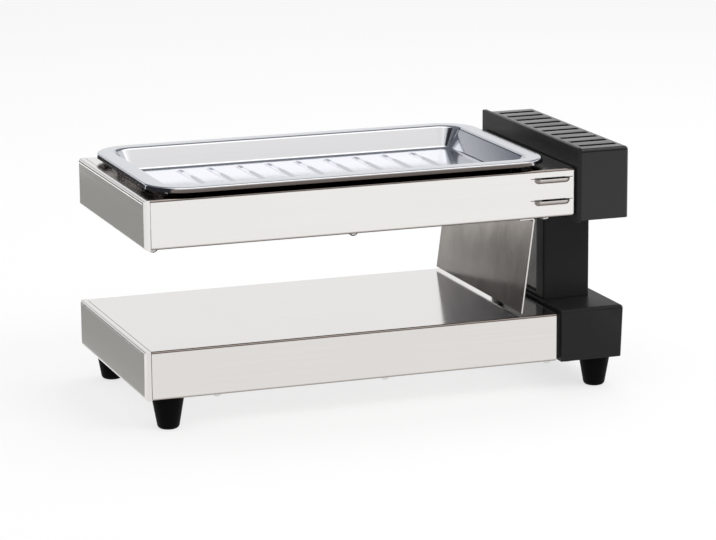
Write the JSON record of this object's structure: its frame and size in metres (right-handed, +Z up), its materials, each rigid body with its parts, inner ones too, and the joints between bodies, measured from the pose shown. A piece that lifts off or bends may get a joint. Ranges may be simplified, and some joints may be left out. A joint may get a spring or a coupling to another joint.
{
  "type": "raclette grill",
  "caption": "Electric raclette grill: a heated steel head with a lift-off serving dish on top, held over a flat steel base by a black column at one end.",
  "frame": {"origin": "on the table, under the middle of the whole appliance", "axes": "+X along the length from the open end to the black column, +Y from the front to the back, +Z up"},
  "size_m": [0.3792, 0.1878, 0.1868],
  "materials": {
    "brushed_stainless": "fine brushed along the length",
    "shield_stainless": "satin rolled sheet",
    "polished_stainless": "bright, lightly brushed",
    "inner_steel": "plain rolled sheet",
    "black_moulding": "fine matt grain",
    "black_foot": "smooth, satin",
    "steel_screws": "bright zinc",
    "heater_sheath": "heat-darkened tube",
    "white_ceramic": "matt, unglazed",
    "cutout_body": "moulded, matt",
    "white_moulding": "moulded, satin",
    "black_rubber": "matt",
    "brown_sleeve": "silicone sleeve",
    "blue_sleeve": "silicone sleeve",
    "green_sleeve": "silicone sleeve"
  },
  "bodies": {
    "grill": {"base_shell": "brushed_stainless", "base_end_cap": "brushed_stainless", "head_shell": "brushed_stainless", "head_end_cap": "brushed_stainless", "heat_shield": "shield_stainless", "base_bottom_plate": "inner_steel", "head_bottom_frame": "inner_steel", "column_post": "inner_steel", "head_bulkhead": "inner_steel", "cross_support_left": "inner_steel", "cross_support_middle": "inner_steel", "cross_support_right": "inner_steel", "lower_housing": "black_moulding", "lower_cover": "black_moulding", "column_cover": "black_moulding", "cap_flange": "black_moulding", "cap_housing": "black_moulding", "foot_front_left": "black_foot", "foot_back_left": "black_foot", "foot_front_right": "black_foot", "foot_back_right": "black_foot", "base_screws": "steel_screws", "head_screws": "steel_screws", "foot_screws": "steel_screws", "foot_nuts": "steel_screws", "lower_cover_screws": "steel_screws", "post_screws": "steel_screws", "shield_screws": "steel_screws", "heating_element": "heater_sheath", "element_insulators": "white_ceramic", "thermal_cutout": "cutout_body", "terminal_block": "white_moulding", "cord_gland": "black_rubber", "wire_live": "brown_sleeve", "wire_neutral": "blue_sleeve", "wire_earth": "green_sleeve"},
    "dish": {"serving_tray": "polished_stainless"}
  },
  "joints": [
    {"name": "dish_lift", "type": "slide", "parent": "grill", "child": "dish", "axis": [0, 0, 1], "range_m": [0, 0.06]}
  ]
}
